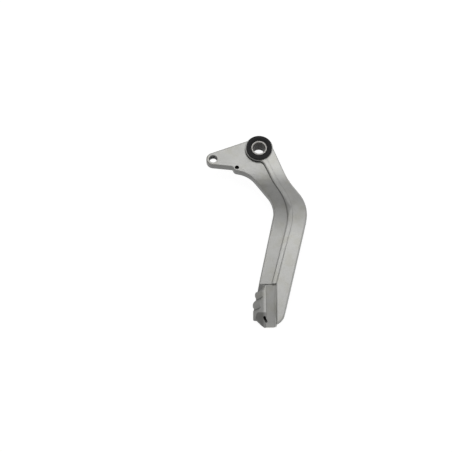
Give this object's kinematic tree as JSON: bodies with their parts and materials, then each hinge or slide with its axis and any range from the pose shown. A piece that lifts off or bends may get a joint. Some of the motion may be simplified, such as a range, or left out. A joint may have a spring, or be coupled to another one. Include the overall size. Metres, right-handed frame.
{
  "type": "rear brake pedal",
  "caption": "Cranked motorbike rear brake pedal with a ridged toe, a short arm for the brake rod pin and a sealed needle bearing on a steel pivot sleeve.",
  "frame": {"origin": "on the pivot axis, half way along the pivot sleeve and the boss", "axes": "+Z along the pivot axis towards the face with the raised rib, +Y from the toe towards the boss, the short arm points to -X"},
  "size_m": [0.0802, 0.1584, 0.0178],
  "materials": {
    "forged_aluminium": "satin bare metal, lightly mottled",
    "sleeve_steel": "turned steel",
    "bearing_steel": "hardened bearing steel",
    "seal_rubber": "matt moulded rubber"
  },
  "bodies": {
    "sleeve": {"pivot_sleeve": "sleeve_steel"},
    "pedal": {"pedal_lever": "forged_aluminium", "needle_cup": "bearing_steel", "front_dust_seal": "seal_rubber", "rear_dust_seal": "seal_rubber"},
    "cage": {"needle_cage": "bearing_steel"},
    "needle_01": {"needle_01": "bearing_steel"},
    "needle_02": {"needle_02": "bearing_steel"},
    "needle_03": {"needle_03": "bearing_steel"},
    "needle_04": {"needle_04": "bearing_steel"},
    "needle_05": {"needle_05": "bearing_steel"},
    "needle_06": {"needle_06": "bearing_steel"},
    "needle_07": {"needle_07": "bearing_steel"},
    "needle_08": {"needle_08": "bearing_steel"},
    "needle_09": {"needle_09": "bearing_steel"},
    "needle_10": {"needle_10": "bearing_steel"},
    "needle_11": {"needle_11": "bearing_steel"},
    "needle_12": {"needle_12": "bearing_steel"},
    "needle_13": {"needle_13": "bearing_steel"},
    "needle_14": {"needle_14": "bearing_steel"}
  },
  "joints": [
    {"name": "pedal_pivot", "type": "hinge", "parent": "sleeve", "child": "pedal", "pos_m": [0, 0, 0], "axis": [0, 0, 1], "continuous": true},
    {"name": "cage_turn", "type": "hinge", "parent": "sleeve", "child": "cage", "pos_m": [0, 0, 0], "axis": [0, 0, 1], "continuous": true},
    {"name": "needle_01_spin", "type": "hinge", "parent": "cage", "child": "needle_01", "pos_m": [0.00752, 0, 0], "axis": [0, 0, 1], "continuous": true},
    {"name": "needle_02_spin", "type": "hinge", "parent": "cage", "child": "needle_02", "pos_m": [0.00678, 0.00326, 0], "axis": [0, 0, 1], "continuous": true},
    {"name": "needle_03_spin", "type": "hinge", "parent": "cage", "child": "needle_03", "pos_m": [0.00469, 0.00588, 0], "axis": [0, 0, 1], "continuous": true},
    {"name": "needle_04_spin", "type": "hinge", "parent": "cage", "child": "needle_04", "pos_m": [0.00167, 0.00733, 0], "axis": [0, 0, 1], "continuous": true},
    {"name": "needle_05_spin", "type": "hinge", "parent": "cage", "child": "needle_05", "pos_m": [-0.00167, 0.00733, 0], "axis": [0, 0, 1], "continuous": true},
    {"name": "needle_06_spin", "type": "hinge", "parent": "cage", "child": "needle_06", "pos_m": [-0.00469, 0.00588, 0], "axis": [0, 0, 1], "continuous": true},
    {"name": "needle_07_spin", "type": "hinge", "parent": "cage", "child": "needle_07", "pos_m": [-0.00678, 0.00326, 0], "axis": [0, 0, 1], "continuous": true},
    {"name": "needle_08_spin", "type": "hinge", "parent": "cage", "child": "needle_08", "pos_m": [-0.00752, 0, 0], "axis": [0, 0, 1], "continuous": true},
    {"name": "needle_09_spin", "type": "hinge", "parent": "cage", "child": "needle_09", "pos_m": [-0.00678, -0.00326, 0], "axis": [0, 0, 1], "continuous": true},
    {"name": "needle_10_spin", "type": "hinge", "parent": "cage", "child": "needle_10", "pos_m": [-0.00469, -0.00588, 0], "axis": [0, 0, 1], "continuous": true},
    {"name": "needle_11_spin", "type": "hinge", "parent": "cage", "child": "needle_11", "pos_m": [-0.00167, -0.00733, 0], "axis": [0, 0, 1], "continuous": true},
    {"name": "needle_12_spin", "type": "hinge", "parent": "cage", "child": "needle_12", "pos_m": [0.00167, -0.00733, 0], "axis": [0, 0, 1], "continuous": true},
    {"name": "needle_13_spin", "type": "hinge", "parent": "cage", "child": "needle_13", "pos_m": [0.00469, -0.00588, 0], "axis": [0, 0, 1], "continuous": true},
    {"name": "needle_14_spin", "type": "hinge", "parent": "cage", "child": "needle_14", "pos_m": [0.00678, -0.00326, 0], "axis": [0, 0, 1], "continuous": true}
  ],
  "couplings": [
    {"joint": "cage_turn", "follows": "pedal_pivot", "ratio": 0.56649},
    {"joint": "needle_01_spin", "follows": "pedal_pivot", "ratio": 3.6935},
    {"joint": "needle_02_spin", "follows": "pedal_pivot", "ratio": 3.6935},
    {"joint": "needle_03_spin", "follows": "pedal_pivot", "ratio": 3.6935},
    {"joint": "needle_04_spin", "follows": "pedal_pivot", "ratio": 3.6935},
    {"joint": "needle_05_spin", "follows": "pedal_pivot", "ratio": 3.6935},
    {"joint": "needle_06_spin", "follows": "pedal_pivot", "ratio": 3.6935},
    {"joint": "needle_07_spin", "follows": "pedal_pivot", "ratio": 3.6935},
    {"joint": "needle_08_spin", "follows": "pedal_pivot", "ratio": 3.6935},
    {"joint": "needle_09_spin", "follows": "pedal_pivot", "ratio": 3.6935},
    {"joint": "needle_10_spin", "follows": "pedal_pivot", "ratio": 3.6935},
    {"joint": "needle_11_spin", "follows": "pedal_pivot", "ratio": 3.6935},
    {"joint": "needle_12_spin", "follows": "pedal_pivot", "ratio": 3.6935},
    {"joint": "needle_13_spin", "follows": "pedal_pivot", "ratio": 3.6935},
    {"joint": "needle_14_spin", "follows": "pedal_pivot", "ratio": 3.6935}
  ]
}
